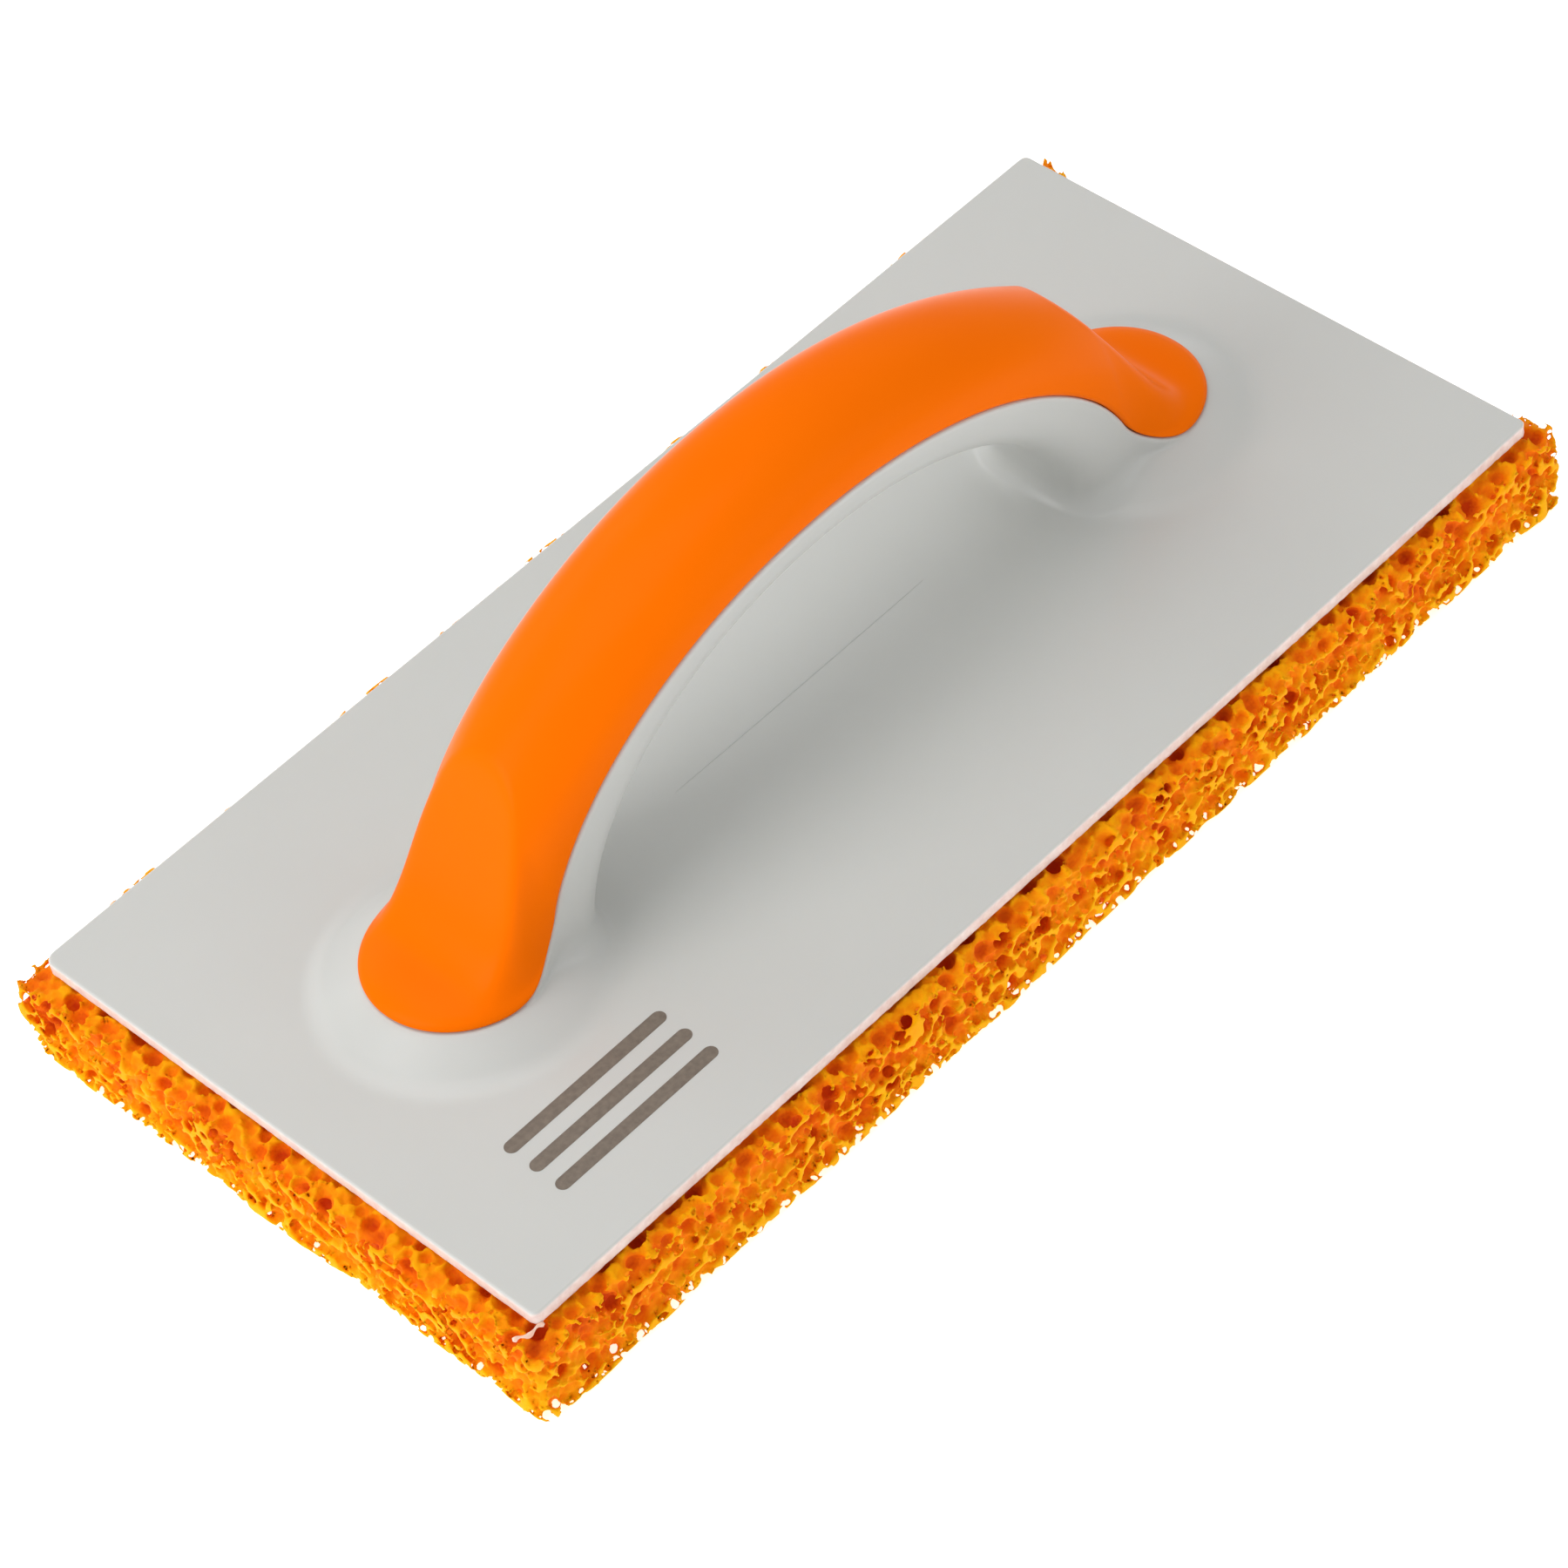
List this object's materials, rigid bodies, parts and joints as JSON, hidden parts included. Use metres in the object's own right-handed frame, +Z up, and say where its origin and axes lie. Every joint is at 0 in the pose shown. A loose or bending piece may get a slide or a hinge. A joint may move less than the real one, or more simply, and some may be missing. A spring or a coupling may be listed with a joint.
{
  "type": "sponge grout float",
  "caption": "Rectangular sponge float with a flat moulded plate, a coarse open-cell sponge pad under it and an arched closed handle for wiping grout.",
  "frame": {"origin": "middle of the sponge's working face, on the surface the float rests on", "axes": "+X along the float's length and the handle, +Y across it, +Z up from the working face to the handle"},
  "size_m": [0.28, 0.137, 0.0903],
  "materials": {
    "sponge": "matte open-cell foam",
    "glue": "translucent dried glue",
    "grey_plastic": "satin moulded",
    "orange_plastic": "satin moulded",
    "screw_steel": "zinc plated"
  },
  "bodies": {
    "root": {"sponge_pad": "sponge", "glue_layer": "glue", "base_plate": "grey_plastic", "handle_cover": "orange_plastic", "cover_screws": "screw_steel"}
  },
  "joints": []
}
